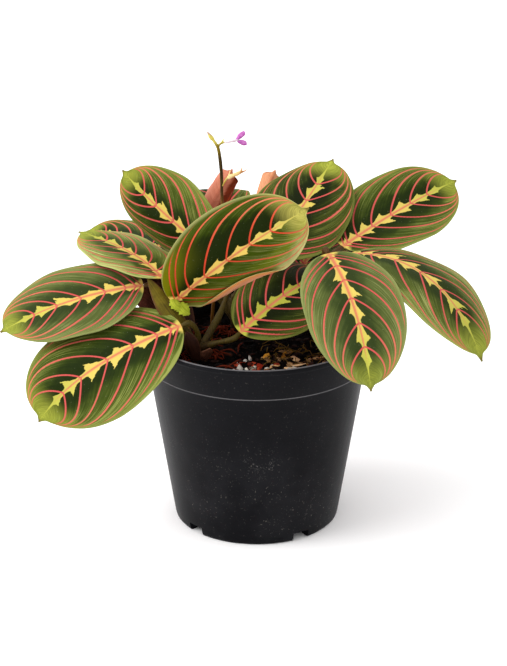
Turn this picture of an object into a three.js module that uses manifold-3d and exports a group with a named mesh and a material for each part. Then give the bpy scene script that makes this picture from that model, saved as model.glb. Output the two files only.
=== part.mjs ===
// Prayer plant (Maranta leuconeura) in a black nursery pot. Millimetres, +Z up.
// The origin is the centre of the pot's underside. +X is to the right and +Y to the back in the usual view.

import * as THREE from 'three'
import { mergeVertices } from 'three/addons/utils/BufferGeometryUtils.js'
import Module from 'manifold-3d'

// Pot, a moulded nursery pot of 14 cm
const POT_HEIGHT = 123.6
const RIM_RADIUS = 70
const RIM_BEAD = 2.6
const COLLAR_TOP_RADIUS = 69.6
const COLLAR_FOOT_RADIUS = 68.8
const COLLAR_FOOT = 104.3
const BODY_TOP_RADIUS = 67.7
const BASE_RADIUS = 51.7
const BASE_ROUND = 2.5
const POT_WALL = 1.6
const FOOT_RING_INNER = 44
const FLOOR_UNDERSIDE = 3
const CENTRE_PAD_RADIUS = 9 // flat boss under the middle of the floor, level with the foot ring
const EDGE = 0.4
const SLOPED_STEP = 1.5
const POT_SEGMENTS = 48
const NOTCH_WIDTH = 11
const NOTCH_HEIGHT = 5.5
const NOTCH_DEPTH = 16 // across the foot ring
const NOTCH_HEADINGS = [-47, 32, 102, 172, 243] // degrees from the front, positive to the right

// Soil
const CLEARANCE = 0.3
const SOIL_SIDE_GAP = 0.45
const SOIL_EDGE = 110.5
const SOIL_LEVEL = 113
const SOIL_RINGS = [60, 50, 40, 30, 20, 10, 0]
const MOUND = { x: -24, y: -12, height: 1.6, spread: 30 }
const LUMP_HEIGHTS = [0.8, 0.6]
const SOIL_SEGMENTS = 30
const HOLE_FLOOR = 88
const HOLE_SPARE = 0.6
const HOLE_SIDES = 12
const CHIP_COUNT = 26
const CHIP_SEED = 7
const CHIP_REACH = 58 // from the pot's axis
const CHIP_LENGTHS = [5, 11]
const CHIP_THICKNESS = 2.4
const CHIP_SLENDERNESS = [0.25, 0.45]
const CHIP_TILT = 0.9 // radians
const CHIP_LIFT = 0.3

// Leaf blades
const BLADE_THICKNESS = 0.8
const KEEL_DEPTH = 1.1
const KEEL_HALF_WIDTH = 1.2
const KEEL_SHARE = 0.8 // at most this much of the way to the next column
const BLADE_ROWS = 13
const BASE_HALF_WIDTH = 1.5
const TIP_HALF_WIDTH = 0.6
const RIPPLE = 0.7
const RIPPLE_TURNS = 2.3
const COLUMNS = [-1, -0.72, -0.38, 0.38, 0.72, 1]
const ROLL_COLUMNS = [-1, -0.83, -0.66, -0.49, -0.33, -0.17, 0.17, 0.33, 0.49, 0.66, 0.83, 1]
const FOLD_STEPS = [0, 0.2, 0.45, 0.7, 0.85, 1]
const FOLD_RADIUS = 1.4
const FOLD_START = 0.02
const FOLD_LENGTH = 0.64
const FOLD_LEAST = 0.08
const ROLL_SPREAD = 0.3 // how far a rolled blade's turns move apart, per radian
const OUTLINE = { end: 0.965, skew: 0.92, power: 2.2, fullness: 0.55, point: 0.3, pointLength: 0.12 }

// Stems
const STEM_SIDES = 8
const PETIOLE_RADIUS = 1.6
const PETIOLE_STEPS = 8
const PULVINUS_RADIUS = 1.9
const PETIOLE_END_RADIUS = 1.3
const SHEATH_RADIUS = 2.3
const APPROACH = 5
const CANE_RADIUS = 2.8
const CANE_TOP_RADIUS = 2.3
const CANE_STEPS = 8
const ROOT_END = HOLE_FLOOR + CLEARANCE

// Each blade: base, middle and tip of its midrib, the way its upper side faces, its width,
// its arch (margins below the rib, as a share of half the width) and its twist from base to tip in degrees.
// A rolled blade also has the radius of its roll from base to tip, and the centre one the width that folds over
const LEAVES = [
  { name: 'leaf_far_left', base: [-68.7, -10.6, 155.1], middle: [-113.5, -18.9, 147.6], tip: [-153.7, -33, 133.4],
    face: [-0.25, -0.55, 0.8], width: 54, arch: 0.05, twist: 0 },
  { name: 'leaf_low_left', base: [-45.1, -35.3, 138.5], middle: [-96.4, -51.6, 117.8], tip: [-129, -67.5, 90],
    face: [0.25, -0.45, 0.85], width: 69, arch: 0.1, twist: -12 },
  { name: 'leaf_mid_left', base: [-56.8, -13.8, 160.9], middle: [-79.4, 19.5, 166.4], tip: [-112.2, 48.5, 169.4],
    face: [0.1, -0.05, 1], width: 51, arch: 0.07, twist: -10 },
  { name: 'leaf_behind_left', base: [-61, 50, 158], middle: [-87, 80, 155], tip: [-112, 108, 150],
    face: [-0.35, -0.05, 0.95], width: 46, arch: 0.12, twist: -25 },
  { name: 'leaf_upper_left', base: [-23, 6.4, 166.5], middle: [-56.1, 25.4, 188.5], tip: [-83.1, 39.4, 212.6],
    face: [-0.5, -0.85, 0.05], width: 50, arch: 0.3, twist: 18 },
  { name: 'leaf_centre', base: [-50, -23, 149], middle: [-11, -32, 184], tip: [30, -41, 214],
    face: [0, -0.95, -0.3], width: 61, arch: 0.19, twist: -25, fold: 9 },
  { name: 'leaf_upper_right', base: [7.9, -1.3, 172], middle: [27.7, 32.7, 190.3], tip: [48.4, 71.6, 210],
    face: [-0.1, -0.6, 0.75], width: 62, arch: 0.1, twist: -8 },
  { name: 'leaf_far_right', base: [52.6, 11.2, 172.4], middle: [90, 44.3, 185.7], tip: [127, 71.5, 196.1],
    face: [0.15, -0.45, 0.9], width: 58, arch: -0.07, twist: 16 },
  { name: 'leaf_drooping_right', base: [56, -15, 177], middle: [101, -49, 173], tip: [129.5, -83, 135],
    face: [0.37, -0.24, 0.9], width: 63, arch: 0.13, twist: 3 },
  { name: 'leaf_front_right', base: [42, -38, 185], middle: [56, -83, 166], tip: [64, -115, 130],
    face: [-0.05, -0.55, 0.8], width: 57, arch: 0.04, twist: 12 },
  { name: 'leaf_low_centre', base: [-10, -35, 134], middle: [21, -11, 152], tip: [45, 22, 149],
    face: [0.15, -0.35, 0.9], width: 56, arch: 0.11, twist: 6 },
  { name: 'leaf_back_crest', base: [-24, 52, 160], middle: [-26, 84, 184], tip: [-28, 112, 168],
    face: [0, -0.1, 1], width: 44, arch: 0.1, twist: 0 },
  { name: 'leaf_back_centre', base: [28, 32, 150], middle: [44, 74, 162], tip: [52, 110, 144],
    face: [0, 0, 1], width: 50, arch: 0.08, twist: 0 },
  { name: 'leaf_back_right', base: [34, 24, 140], middle: [66, 56, 150], tip: [90, 82, 134],
    face: [0, 0, 1], width: 54, arch: 0.08, twist: 0 },
  { name: 'leaf_back_left', base: [-28, 32, 138], middle: [-50, 72, 144], tip: [-64, 104, 128],
    face: [0, 0, 1], width: 52, arch: 0.08, twist: 0 },
  { name: 'leaf_rolled_young', base: [-36, 23, 152], middle: [-31, 30, 184], tip: [-15, 35, 214.5],
    face: [0.25, 0.95, 0], width: 56, arch: 0, twist: 0, roll: [5.2, 9.6, 5.5] },
  { name: 'leaf_rolled_back', base: [-4.5, 62, 146], middle: [0.8, 70, 173], tip: [12, 78, 201],
    face: [0.25, 0.95, 0], width: 44, arch: 0, twist: 0, roll: [3.5, 8] },
]

// Each shoot: where it stands in the soil, its cane, and the points that each leaf's petiole passes
const SHOOTS = [
  { name: 'shoot_left', cane: [[-38, -14], [-41, -15, 124], [-47, -13, 134]], petioles: {
    leaf_far_left: [[-44, -15, 129], [-54, -11, 144]],
    leaf_mid_left: [[-45, -14, 132], [-51, -18, 146]] } },
  { name: 'shoot_front', cane: [[-32, -30], [-37, -27, 125]], petioles: {
    leaf_low_left: [[-36, -27, 123], [-36, -32, 134]],
    leaf_centre: [[-36, -27, 122], [-44, -26, 134]],
    leaf_upper_right: [[-34, -28, 121], [-22, -12, 138], [-15, -4, 153], [-4, 1, 164]],
    leaf_low_centre: [[-34, -29, 122], [-24, -34, 127]] } },
  { name: 'shoot_back_left', cane: [[-14, 18], [-14, 17, 126], [-14, 14, 140]], petioles: {
    leaf_behind_left: [[-14, 16, 130], [-34, 38, 146]],
    leaf_upper_left: [[-14, 14, 136], [-11, 4, 152]],
    leaf_rolled_young: [[-14, 16, 126], [-22, 19, 134]],
    leaf_back_left: [[-14, 17, 122], [-20, 22, 130]] } },
  { name: 'shoot_back', cane: [[6, 26], [5, 27, 124], [3, 30, 134]], petioles: {
    leaf_back_crest: [[3, 30, 132], [-10, 40, 148]],
    leaf_back_centre: [[4, 28, 126], [14, 26, 140]],
    leaf_back_right: [[5, 27, 122], [20, 18, 134]],
    leaf_rolled_back: [[4, 28, 130], [0, 44, 136]] } },
  { name: 'shoot_right', cane: [[50, -18], [50, -20, 130], [47, -24, 150], [41, -24, 170]], petioles: {
    leaf_far_right: [[42, -24, 166], [43, -14, 172]],
    leaf_drooping_right: [[43, -24, 162], [46, -14, 170]],
    leaf_front_right: [[41, -24, 167], [40, -26, 178]] } },
]

// Flower stalk, its side branch, the flower and the dry bract
const STALK_PATH = [[-28, 4, ROOT_END], [-28, 4, 104], [-28, 4, 120], [-26, -1, 145], [-21, -5, 175],
  [-20.5, 0, 195], [-21.2, 4, 207], [-22, 5, 224], [-23.4, 5, 237.4], [-25.6, 5, 241.6], [-27, 5, 244]]
const STALK_FOOT_RADIUS = 1.1
const STALK_TOP_RADIUS = 0.9
const STALK_STEPS = 16
const BUD_PATH = [[-26.4, 5, 243], [-27.8, 5, 245], [-30, 5, 247.3]]
const BRANCH_PATH = [[-23, 5, 236.6], [-21.6, 5, 240], [-18, 5, 241.2], [-13.1, 5, 241.8]]
const BUD_RADII = [0.5, 1.4, 1.2, 0.35]
const BRANCH_RADII = [0.9, 0.9, 0.5, 0.5]
const FINE_SIDES = 6
const FLOWER_CENTRE = [-11.4, 5, 242]
const THROAT_RADIUS = 1.5
const PETALS = [
  { centre: [2.9, 0, 2.1], size: [3.2, 1.1, 1.7] },
  { centre: [3.2, 0, -1.1], size: [3.2, 1.1, 1.7] },
  { centre: [1.6, -1.3, 0.5], size: [1.6, 1.8, 1.2] },
]
const BRACT = { name: 'dry_bract', base: [-19.5, 4.5, 211.5], middle: [-15, 4, 218.5], tip: [-6, 3, 224],
  face: [-0.3, -0.9, 0.3], width: 4.5, arch: 0.4, twist: 30, keel: 0 }
const BRACT_ROWS = 8

const wasm = await Module()
wasm.setup()

const radians = THREE.MathUtils.degToRad
const vector = (p) => new THREE.Vector3(...p)

// A closed geometry as a solid, with shared vertices merged and slivers left out
function toSolid(geometry) {
  const bare = geometry.clone()
  for (const name of Object.keys(bare.attributes)) if (name !== 'position') bare.deleteAttribute(name)
  const merged = mergeVertices(bare, 1e-4)
  const triangles = []
  for (let i = 0; i < merged.index.count; i += 3) {
    const [a, b, c] = [0, 1, 2].map((k) => merged.index.getX(i + k))
    if (a !== b && b !== c && c !== a) triangles.push(a, b, c)
  }
  return new wasm.Manifold(new wasm.Mesh({
    numProp: 3,
    vertProperties: Float32Array.from(merged.attributes.position.array),
    triVerts: Uint32Array.from(triangles),
  }))
}

function toGeometry(solid) {
  const mesh = solid.getMesh()
  const geometry = new THREE.BufferGeometry()
  geometry.setAttribute('position', new THREE.BufferAttribute(mesh.vertProperties, 3))
  geometry.setIndex(new THREE.BufferAttribute(mesh.triVerts, 1))
  geometry.computeVertexNormals()
  return geometry
}

const join = (geometries) => geometries.map(toSolid).reduce((all, next) => all.add(next))

// The value at a share of the way through a list
function alongList(values, share) {
  const place = share * (values.length - 1)
  const k = Math.min(Math.floor(place), values.length - 2)
  return THREE.MathUtils.lerp(values[k], values[k + 1], place - k)
}

// A tube with flat ends through the points, with its radius spread over the given values
function tube(points, radii, steps, sides = STEM_SIDES) {
  const curve = new THREE.CatmullRomCurve3(points.map(vector), false, 'centripetal')
  const { normals, binormals } = curve.computeFrenetFrames(steps)
  const geometry = new THREE.CylinderGeometry(1, 1, 1, sides, steps)
  const position = geometry.attributes.position
  for (let i = 0; i < position.count; i++) {
    const step = Math.round((0.5 - position.getY(i)) * steps)
    const radius = alongList(radii, step / steps)
    const at = curve.getPointAt(step / steps)
    at.addScaledVector(normals[step], radius * position.getX(i))
    at.addScaledVector(binormals[step], radius * position.getZ(i))
    position.setXYZ(i, at.x, at.y, at.z)
  }
  return geometry
}

// Half the blade's width along the midrib, as a share of its widest: blunt at the base, pointed at the tip
function outline(s) {
  const u = Math.min(s / OUTLINE.end, 1) ** OUTLINE.skew
  const oval = Math.max(1 - Math.abs(2 * u - 1) ** OUTLINE.power, 0) ** OUTLINE.fullness
  const point = s > 0.5 ? OUTLINE.point * Math.min((1 - s) / OUTLINE.pointLength, 1) : 0
  return Math.cbrt(oval ** 3 + point ** 3)
}

// The same for the narrow bract, pointed at both ends
const lance = (s) => Math.sin(Math.PI * (0.12 + 0.86 * s)) ** 0.8

function ribCurve(leaf) {
  const [base, middle, tip] = [leaf.base, leaf.middle, leaf.tip].map(vector)
  const control = middle.clone().multiplyScalar(2).addScaledVector(base, -0.5).addScaledVector(tip, -0.5)
  return new THREE.QuadraticBezierCurve3(base, control, tip)
}

// The blade's frame at a share s of its midrib: the rib point, the way across and the upper side's normal
function bladeFrame(leaf, rib, s) {
  const along = rib.getTangent(s)
  const face = vector(leaf.face)
  const up = face.addScaledVector(along, -face.dot(along)).normalize()
  up.applyAxisAngle(along, radians(leaf.twist * (s - 0.5)))
  return { at: rib.getPoint(s), up, side: up.clone().cross(along) }
}

// How much of the folded margin turns over, fading to both ends of the fold
function foldShare(s) {
  const u = THREE.MathUtils.clamp((s - FOLD_START) / FOLD_LENGTH, 0, 1)
  return Math.max(Math.sin(Math.PI * u), FOLD_LEAST) ** 0.7
}

// Where the blade lies, and the way its upper side faces, at a share s of its rib and a distance across
function bladePoint(leaf, rib, s, half, across) {
  const { at, up, side } = bladeFrame(leaf, rib, s)
  const turned = (angle) => up.clone().multiplyScalar(Math.cos(angle)).addScaledVector(side, -Math.sin(angle))
  if (leaf.roll) {
    const middle = alongList(leaf.roll, s)
    const angle = across / middle
    const radius = middle + ROLL_SPREAD * angle
    at.addScaledVector(side, radius * Math.sin(angle)).addScaledVector(up, middle - radius * Math.cos(angle))
    return { at, up: turned(angle) }
  }
  const flat = leaf.fold ? half - Math.min(leaf.fold * foldShare(s), half * 0.5) : half
  const over = Math.max(-across - flat, 0)
  const angle = Math.min(over / FOLD_RADIUS, Math.PI)
  const lap = over - FOLD_RADIUS * angle
  const reach = Math.max(across, -flat) - FOLD_RADIUS * Math.sin(angle) + lap
  const bow = (leaf.arch * reach * reach) / (leaf.width / 2)
  const ripple = RIPPLE * Math.min(half / 15, 1) * (reach / half) ** 2
  const wave = Math.sin(2 * Math.PI * (RIPPLE_TURNS * s + leaf.width / 9))
  const rise = ripple * wave - bow + FOLD_RADIUS * (1 - Math.cos(angle))
  at.addScaledVector(side, reach).addScaledVector(up, rise)
  return { at, up: turned(-angle) }
}

// Distances across the blade at which its grid has points, from one margin to the other
function columnsAcross(leaf, s, half) {
  const shares = (leaf.roll ? ROLL_COLUMNS : COLUMNS).map((share) => share * half)
  const left = shares.filter((across) => across < 0)
  const right = shares.filter((across) => across > 0)
  const keelSide = Math.min(KEEL_HALF_WIDTH, right[0] * KEEL_SHARE)
  const turned = leaf.fold ? Math.min(leaf.fold * foldShare(s), half * 0.5) : 0
  const margin = leaf.fold ? FOLD_STEPS.map((step) => -half + step * turned) : left.slice(0, -1)
  return [...margin, left.at(-1), -keelSide, 0, keelSide, ...right]
}

// A closed thin blade: one grid above and one below it, split into triangles alike, with a keel under the rib
function blade(leaf, rows = BLADE_ROWS, halfWidth = outline) {
  const rib = ribCurve(leaf)
  const keelDepth = leaf.keel ?? KEEL_DEPTH
  const wide = columnsAcross(leaf, 0, BASE_HALF_WIDTH).length
  const above = []
  const below = []
  for (let row = 0; row < rows; row++) {
    const s = (1 - Math.cos((Math.PI * row) / (rows - 1))) / 2
    const least = Math.min(THREE.MathUtils.lerp(BASE_HALF_WIDTH, TIP_HALF_WIDTH, s), leaf.width / 6)
    const half = Math.max((halfWidth(s) * leaf.width) / 2, least)
    for (const a of columnsAcross(leaf, s, half)) {
      const { at, up } = bladePoint(leaf, rib, s, half, a)
      const keel = a === 0 ? keelDepth * (1 - 0.8 * s) : 0
      above.push(at.clone().addScaledVector(up, BLADE_THICKNESS / 2))
      below.push(at.addScaledVector(up, -BLADE_THICKNESS / 2 - keel))
    }
  }
  const points = [...above, ...below]
  const under = above.length
  const index = []
  const quad = (a, b, c, d) => index.push(a, c, b, a, d, c)
  for (let row = 0; row + 1 < rows; row++) {
    for (let column = 0; column + 1 < wide; column++) {
      const a = row * wide + column
      quad(a, a + 1, a + 1 + wide, a + wide)
      index.push(a + under, a + under + 1, a + under + 1 + wide)
      index.push(a + under, a + under + 1 + wide, a + under + wide)
    }
    const left = row * wide
    const right = left + wide - 1
    quad(left, left + wide, left + wide + under, left + under)
    quad(right, right + under, right + wide + under, right + wide)
  }
  const last = (rows - 1) * wide
  for (let column = 0; column + 1 < wide; column++) {
    quad(column, column + under, column + 1 + under, column + 1)
    quad(last + column, last + column + 1, last + column + 1 + under, last + column + under)
  }
  const geometry = new THREE.BufferGeometry().setFromPoints(points)
  geometry.setIndex(index)
  return geometry
}

// Radius of the pot's inside face below the collar
function insideAt(z) {
  const slope = (BODY_TOP_RADIUS - BASE_RADIUS) / (COLLAR_FOOT - BASE_ROUND)
  return BASE_RADIUS + slope * (z - BASE_ROUND) - POT_WALL
}

function pot() {
  const beadFoot = POT_HEIGHT - RIM_BEAD
  const floor = FLOOR_UNDERSIDE + POT_WALL
  const profile = [
    [0, 0], [CENTRE_PAD_RADIUS, 0], [CENTRE_PAD_RADIUS + SLOPED_STEP, FLOOR_UNDERSIDE],
    [FOOT_RING_INNER - SLOPED_STEP, FLOOR_UNDERSIDE], [FOOT_RING_INNER, 0], [BASE_RADIUS - 2, 0],
    [BASE_RADIUS - 0.6, 0.7], [BASE_RADIUS, BASE_ROUND], [BODY_TOP_RADIUS, COLLAR_FOOT - 2 * EDGE],
    [COLLAR_FOOT_RADIUS, COLLAR_FOOT], [COLLAR_TOP_RADIUS, beadFoot - EDGE], [RIM_RADIUS, beadFoot],
    [RIM_RADIUS, POT_HEIGHT - EDGE], [RIM_RADIUS - EDGE, POT_HEIGHT], [RIM_RADIUS - POT_WALL, POT_HEIGHT],
    [COLLAR_TOP_RADIUS - POT_WALL, beadFoot - 1], [COLLAR_FOOT_RADIUS - POT_WALL, COLLAR_FOOT + 1],
    [insideAt(COLLAR_FOOT - 1), COLLAR_FOOT - 1], [insideAt(floor), floor], [0, floor],
  ]
  const lathe = new THREE.LatheGeometry(profile.map(([r, z]) => new THREE.Vector2(r, z)), POT_SEGMENTS)
  lathe.rotateX(Math.PI / 2)
  let solid = toSolid(lathe)
  for (const heading of NOTCH_HEADINGS) {
    const notch = new THREE.BoxGeometry(NOTCH_WIDTH, NOTCH_DEPTH, NOTCH_HEIGHT * 2)
    notch.translate(0, -BASE_RADIUS, 0)
    notch.rotateZ(radians(heading))
    solid = solid.subtract(toSolid(notch))
  }
  return toGeometry(solid)
}

// Height of the soil's lumpy top, a little higher round the stems
function soilTop(x, y) {
  const away = Math.hypot(x - MOUND.x, y - MOUND.y) / MOUND.spread
  const large = LUMP_HEIGHTS[0] * Math.sin(0.31 * x + 0.7) * Math.cos(0.27 * y)
  const small = LUMP_HEIGHTS[1] * Math.sin(0.47 * x - 0.36 * y)
  return SOIL_LEVEL + MOUND.height * Math.exp(-away * away) + large + small
}

function soilBed() {
  const floor = FLOOR_UNDERSIDE + POT_WALL + CLEARANCE
  const side = (z) => insideAt(z) - SOIL_SIDE_GAP
  const edge = COLLAR_FOOT_RADIUS - POT_WALL - SOIL_SIDE_GAP
  const profile = [[0, floor], [side(floor), floor], [side(COLLAR_FOOT - 1), COLLAR_FOOT - 1],
    [edge, COLLAR_FOOT + 2], [edge, SOIL_EDGE], ...SOIL_RINGS.map((r) => [r, SOIL_LEVEL])]
  const lathe = new THREE.LatheGeometry(profile.map(([r, z]) => new THREE.Vector2(r, z)), SOIL_SEGMENTS)
  lathe.rotateX(Math.PI / 2)
  const position = lathe.attributes.position
  for (let i = 0; i < position.count; i++) {
    if (position.getZ(i) === SOIL_LEVEL) position.setZ(i, soilTop(position.getX(i), position.getY(i)))
  }
  return lathe
}

// A repeatable draw between 0 and 1
function drawFrom(seed) {
  let state = seed
  return () => {
    state = (state * 16807) % 2147483647
    return state / 2147483647
  }
}

// Bark chips and grit, each a tilted flake half sunk in the soil
function barkChips() {
  const draw = drawFrom(CHIP_SEED)
  const chips = []
  while (chips.length < CHIP_COUNT) {
    const distance = CHIP_REACH * Math.sqrt(draw())
    const bearing = 2 * Math.PI * draw()
    const long = THREE.MathUtils.lerp(...CHIP_LENGTHS, draw())
    const chip = new THREE.CylinderGeometry(1, 1, 1, 4)
    chip.scale(long / 2, CHIP_THICKNESS, long * THREE.MathUtils.lerp(...CHIP_SLENDERNESS, draw()))
    chip.rotateX(Math.PI / 2 + (draw() - 0.5) * CHIP_TILT)
    chip.rotateY((draw() - 0.5) * CHIP_TILT)
    chip.rotateZ(2 * Math.PI * draw())
    const [x, y] = [distance * Math.cos(bearing), distance * Math.sin(bearing)]
    chip.translate(x, y, soilTop(x, y) + CHIP_LIFT)
    chips.push(chip)
  }
  return chips
}

// A plain upright hole from above the soil down to its floor, a little wider than the stem
function stemHole([x, y], radius) {
  const depth = POT_HEIGHT - HOLE_FLOOR
  const hole = new THREE.CylinderGeometry(radius + HOLE_SPARE, radius + HOLE_SPARE, depth, HOLE_SIDES)
  hole.rotateX(Math.PI / 2)
  hole.translate(x, y, HOLE_FLOOR + depth / 2)
  return hole
}

function soil() {
  let solid = join([soilBed(), ...barkChips()])
  for (const { cane } of SHOOTS) solid = solid.subtract(toSolid(stemHole(cane[0], CANE_RADIUS)))
  solid = solid.subtract(toSolid(stemHole(STALK_PATH[0], STALK_FOOT_RADIUS)))
  return toGeometry(solid)
}

// A petiole leaves its cane, passes its points and meets the blade's base squarely at a swollen joint
function petiole(leaf, points) {
  const base = vector(leaf.base)
  const along = ribCurve(leaf).getTangent(0)
  const approach = base.clone().addScaledVector(along, -APPROACH)
  const end = base.clone().addScaledVector(along, -CLEARANCE)
  const radii = [SHEATH_RADIUS, SHEATH_RADIUS, SHEATH_RADIUS, PETIOLE_RADIUS, PETIOLE_RADIUS,
    PULVINUS_RADIUS, PULVINUS_RADIUS, PETIOLE_END_RADIUS]
  return tube([...points, approach.toArray(), end.toArray()], radii, PETIOLE_STEPS)
}

function shoot({ cane, petioles }) {
  const [root, ...rest] = cane
  const upright = [ROOT_END, (ROOT_END + SOIL_LEVEL) / 2, SOIL_LEVEL + 4].map((z) => [...root, z])
  const caneTube = tube([...upright, ...rest], [CANE_RADIUS, CANE_TOP_RADIUS], CANE_STEPS)
  const arms = Object.entries(petioles).map(([name, points]) =>
    petiole(LEAVES.find((leaf) => leaf.name === name), points))
  return toGeometry(join([caneTube, ...arms]))
}

function flowerStalk() {
  const stalk = tube(STALK_PATH, [STALK_FOOT_RADIUS, STALK_TOP_RADIUS], STALK_STEPS, FINE_SIDES)
  const bud = tube(BUD_PATH, BUD_RADII, 5, FINE_SIDES)
  const branch = tube(BRANCH_PATH, BRANCH_RADII, 6, FINE_SIDES)
  return toGeometry(join([stalk, bud, branch]))
}

function flower() {
  const throat = new THREE.SphereGeometry(THROAT_RADIUS, 6, 5)
  const petals = PETALS.map(({ centre, size }) => {
    const petal = new THREE.SphereGeometry(1, 8, 6)
    petal.scale(...size)
    petal.rotateY(-Math.atan2(centre[2], centre[0]))
    petal.translate(...centre)
    return petal
  })
  return toGeometry(join([throat, ...petals])).translate(...FLOWER_CENTRE)
}

const looks = {
  pot: [0x1d1e21, 0.45],
  soil: [0x2b1d15, 0.95],
  leaf: [0x3d5a2c, 0.5],
  youngLeaf: [0xb5645c, 0.55],
  stem: [0x5c5a2e, 0.6],
  flower: [0xb65cc0, 0.6],
  bract: [0xd9b06a, 0.8],
}

function part(name, look, geometry) {
  const [color, roughness] = looks[look]
  const material = new THREE.MeshStandardMaterial({ color, roughness, metalness: 0 })
  const mesh = new THREE.Mesh(geometry, material)
  mesh.name = name
  return mesh
}

const plant = new THREE.Group()
plant.add(part('pot', 'pot', pot()))
plant.add(part('soil', 'soil', soil()))
for (const leaf of LEAVES) plant.add(part(leaf.name, leaf.roll ? 'youngLeaf' : 'leaf', blade(leaf)))
for (const each of SHOOTS) plant.add(part(each.name, 'stem', shoot(each)))
plant.add(part('flower_stalk', 'stem', flowerStalk()))
plant.add(part('flower', 'flower', flower()))
plant.add(part(BRACT.name, 'bract', blade(BRACT, BRACT_ROWS, lance)))

export default plant
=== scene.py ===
"""A prayer plant in a nursery pot. Meshes are made in millimetres, and each becomes a piece in metres."""

import random
from functools import partialmethod
from math import cos, exp, hypot, pi, radians, sin

import bmesh
import bpy
from mathutils import Matrix, Vector, noise


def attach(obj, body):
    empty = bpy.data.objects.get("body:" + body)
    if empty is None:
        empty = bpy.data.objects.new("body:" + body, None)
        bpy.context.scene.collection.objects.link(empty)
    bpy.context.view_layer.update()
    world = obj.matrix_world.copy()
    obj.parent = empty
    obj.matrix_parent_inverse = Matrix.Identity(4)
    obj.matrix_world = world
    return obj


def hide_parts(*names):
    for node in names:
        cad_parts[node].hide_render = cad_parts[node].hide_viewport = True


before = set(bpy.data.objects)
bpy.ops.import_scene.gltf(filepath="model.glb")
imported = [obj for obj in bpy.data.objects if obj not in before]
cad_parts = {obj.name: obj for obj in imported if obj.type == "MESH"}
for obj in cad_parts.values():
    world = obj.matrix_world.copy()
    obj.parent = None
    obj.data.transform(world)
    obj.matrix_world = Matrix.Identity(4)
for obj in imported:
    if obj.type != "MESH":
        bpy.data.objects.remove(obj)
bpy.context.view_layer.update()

MM = 0.001

# Finishes: how much of a screen colour's light is used, and how strongly each kind of piece shines
PLANT_SCALE = 0.78
LEAF_SHINE = 0.04
STEM_SHINE = 0.12
SOIL_SHINE = 0.04
CHIP_SHINE = 0.08
POT_SHINE = 0.06

# Pot
COLLAR_FOOT = 104.3
BODY_TOP_RADIUS = 67.7
BASE_RADIUS = 51.7
BASE_ROUND = 2.5
POT_WALL = 1.6
NOTCH_WIDTH = 11
NOTCH_HEIGHT = 5.5
NOTCH_DEPTH = 16
NOTCH_HEADINGS = (-47, 32, 102, 172, 243)
POT_STEPS = 192
BODY_STEPS = 14
SHARP_ANGLE = 0.9
RIM_EDGE = 123.5
FLOOR_TOP = 4.6
# The middle of the scratched spot, in metres
SCRATCHED = (0.0025, -0.06, 0.06)

# Soil
SOIL_EDGE = 110.5
SOIL_LEVEL = 113
SOIL_RADIUS = 66.75
SOIL_FOOT = 97
SOIL_DEPTH = 16
SOIL_RINGS = 56
SOIL_STEPS = 160
SOIL_MARGIN = 4
SOIL_GRAIN = 0.22
SOIL_ROUGHNESS = 1.5
MOUND = (-24, -12)
MOUND_HEIGHT = 1.6
MOUND_SPREAD = 30

# Leaf blades
BLADE_THICKNESS = 0.55
KEEL_DEPTH = 1.0
KEEL_HALF_WIDTH = 1.3
BASE_HALF_WIDTH = 1.5
TIP_HALF_WIDTH = 0.6
RIPPLE = 0.7
RIPPLE_TURNS = 2.3
RIPPLE_FULL_WIDTH = 15
RIPPLE_SHIFT = 9
FOLD_RADIUS = 1.4
FOLD_START = 0.02
FOLD_LENGTH = 0.64
FOLD_LEAST = 0.08
ROLL_SPREAD = 0.3
BLADE_ROWS = 96
BLADE_COLUMNS = 44
SEED_STEP = 7.3

# Side veins: where each leaves the midrib, and how soon it bends towards the tip
VEIN_FEET = (0.0, 0.012, 0.045, 0.12, 0.25, 0.41, 0.585, 0.74, 0.86, 1.0)
VEIN_NUMBERS = (-0.3, 0, 1, 2, 3, 4, 5, 6, 7, 7.8)
VEIN_SPEEDS = (12, 9, 6.6, 4.3, 2.0, 0.9, 0.3, 0.1, 0.05, 0.02)
VEIN_SLANT = 0.85
VEIN_WANDER = 0.16
VEIN_LONGEST = 4.4
LAST_VEIN = 6.5
LEAST_VEIN_RATE = 0.004
VEIN_HALVINGS = 18
QUILTED_BAYS = 7
QUILTING = 0.5

# Stems
ROOT_END = 88.3
APPROACH = 5
JOINT_GAP = 0.3
ROOT_MIDDLE = 100.65
ROOT_TOP = 117
PETIOLE_RADII = (2.3, 2.3, 2.3, 1.6, 1.6, 1.9, 1.9, 1.3)
CANE_RADII = (2.8, 2.3)
SHOOT_VOXEL = 0.55
STALK_VOXEL = 0.25
SHEATH_THICKNESS = 0.5
CURVE_STEPS = 16
PETIOLE_STEPS = 48
PETIOLE_SIDES = 14
CANE_STEPS = 40
CANE_SIDES = 18
STALK_STEPS = 90
SHEATH_ROWS = 40
SHEATH_COLUMNS = 16

# Camera, lights and floor, in metres and watts
SENSOR = 36
LENS = 108.1
CAMERA_PLACE = (-0.00204, -1.1478, 0.5721)
CAMERA_TILT = radians(68.5)
FAR_LIMIT = 30
SKY_STRENGTH = 1.27
FLOOR_HALF = 6


LEAF_VALUES = ("name", "base", "middle", "tip", "face", "width", "arch", "twist")


def leaf(*values, **more):
    """A blade: its midrib's points, the way that it faces, its width, its arch and its twist in degrees."""
    return dict(zip(LEAF_VALUES, values), **more)


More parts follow.
